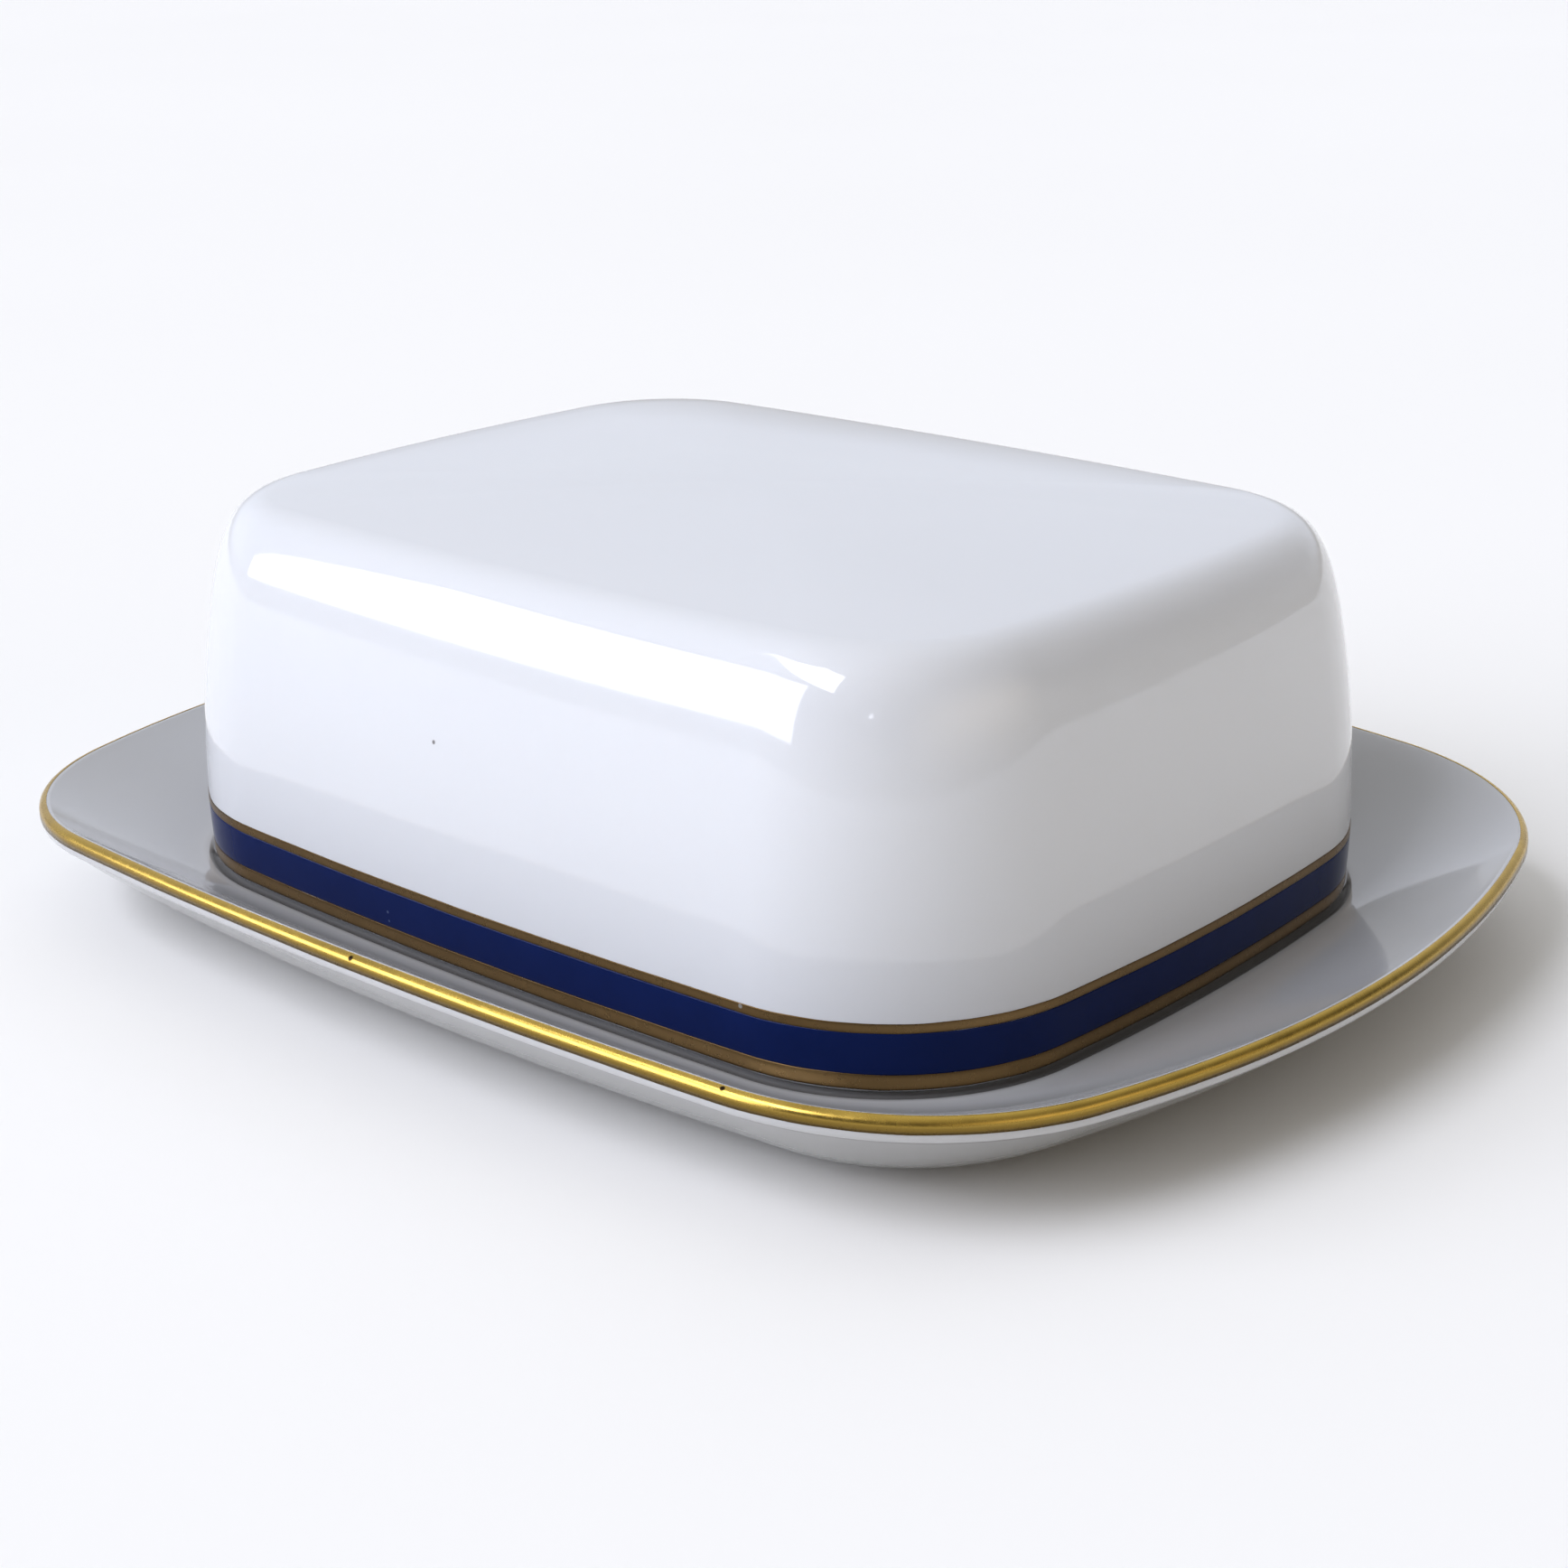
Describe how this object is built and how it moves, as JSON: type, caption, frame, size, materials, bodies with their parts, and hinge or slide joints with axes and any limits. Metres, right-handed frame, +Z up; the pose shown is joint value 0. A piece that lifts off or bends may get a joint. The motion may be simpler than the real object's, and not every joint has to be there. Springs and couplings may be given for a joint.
{
  "type": "butter dish",
  "caption": "Covered butter dish: a bowed rectangular porcelain tray with a flared, gilded rim and a loose lid with rounded edges and a cobalt band between gold lines.",
  "frame": {"origin": "centre of the foot ring's resting plane", "axes": "+X along the long side, +Z up out of the tray"},
  "size_m": [0.1742, 0.1372, 0.0534],
  "materials": {
    "tray_porcelain": "glossy transparent glaze over white porcelain",
    "lid_porcelain": "glossy transparent glaze over white porcelain",
    "cobalt": "glossy cobalt blue under glaze",
    "line_gold": "fired-on gold, burnished, slightly worn",
    "rim_gold": "fired-on gold, burnished"
  },
  "bodies": {
    "tray": {"tray": "tray_porcelain", "tray_gold_rim": "rim_gold"},
    "lid": {"lid": "lid_porcelain", "lid_cobalt_band": "cobalt", "lid_gold_line_upper": "line_gold", "lid_gold_line_lower": "line_gold"}
  },
  "joints": [
    {"name": "lid_lift", "type": "slide", "parent": "tray", "child": "lid", "axis": [0, 0, 1], "range_m": [0, 0.09]}
  ]
}
